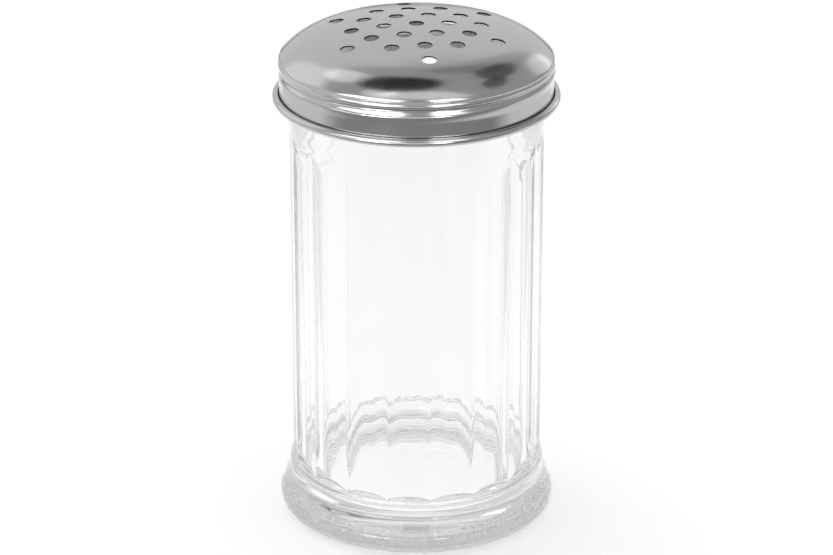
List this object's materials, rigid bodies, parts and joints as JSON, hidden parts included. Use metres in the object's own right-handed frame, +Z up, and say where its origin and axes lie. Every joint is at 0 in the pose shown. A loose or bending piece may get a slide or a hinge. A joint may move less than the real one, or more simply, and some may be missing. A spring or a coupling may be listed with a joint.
{
  "type": "restaurant spice shaker dispenser",
  "caption": "Fluted clear glass shaker jar with a flared foot and a perforated domed steel lid that screws on.",
  "frame": {"origin": "centre of the foot on the table it stands on", "axes": "+Z up along the jar's axis; -Y is the side that faces a person looking at it; the jar and lid are round, so X and Y differ only by the turn of the flutes, holes and thread"},
  "size_m": [0.0762, 0.0762, 0.1378],
  "materials": {
    "clear_glass": "fire polished soda-lime glass",
    "lid_steel": "polished stainless steel sheet"
  },
  "bodies": {
    "jar": {"glass_jar": "clear_glass"},
    "lid_carrier": {"lid_ring": "lid_steel"},
    "lid": {"lid_cap": "lid_steel"}
  },
  "joints": [
    {"name": "lid_lift", "type": "slide", "parent": "jar", "child": "lid_carrier", "axis": [0, 0, 1], "range_m": [0, 0.017]},
    {"name": "lid_turn", "type": "hinge", "parent": "lid_carrier", "child": "lid", "pos_m": [0, 0, 0.1279], "axis": [0, 0, 1], "range_deg": [0, 1440]}
  ],
  "couplings": [
    {"joint": "lid_lift", "follows": "lid_turn", "m_per_rad": 0.0006737}
  ]
}
